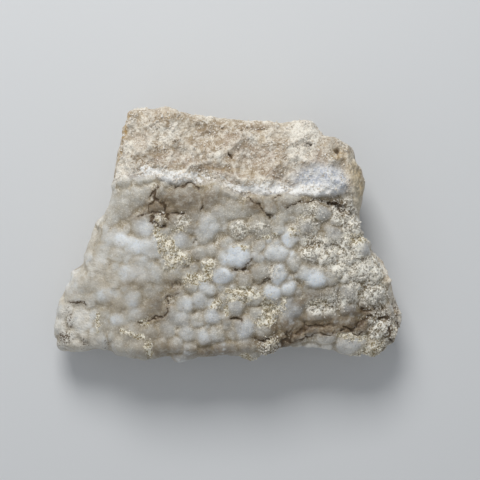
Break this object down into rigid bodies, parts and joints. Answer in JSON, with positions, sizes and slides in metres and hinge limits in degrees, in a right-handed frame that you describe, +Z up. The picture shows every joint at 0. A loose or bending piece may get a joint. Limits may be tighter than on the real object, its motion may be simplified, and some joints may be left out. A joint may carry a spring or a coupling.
{
  "type": "chalcedony specimen",
  "caption": "Slab of botryoidal chalcedony: a crust of small rounded lumps, milky on one side, below a broken band of grainy matrix; lies flat on its broken back.",
  "frame": {"origin": "under the middle of the stone's plan, on the surface it rests on", "axes": "+X along the long side, to the right in plan; +Y from the crust's lower edge to the broken band; +Z up, away from the resting surface"},
  "size_m": [0.101, 0.073, 0.0297],
  "materials": {
    "chalcedony": "waxy lumps, grainy where broken"
  },
  "bodies": {
    "root": {"chalcedony_stone": "chalcedony"}
  },
  "joints": []
}
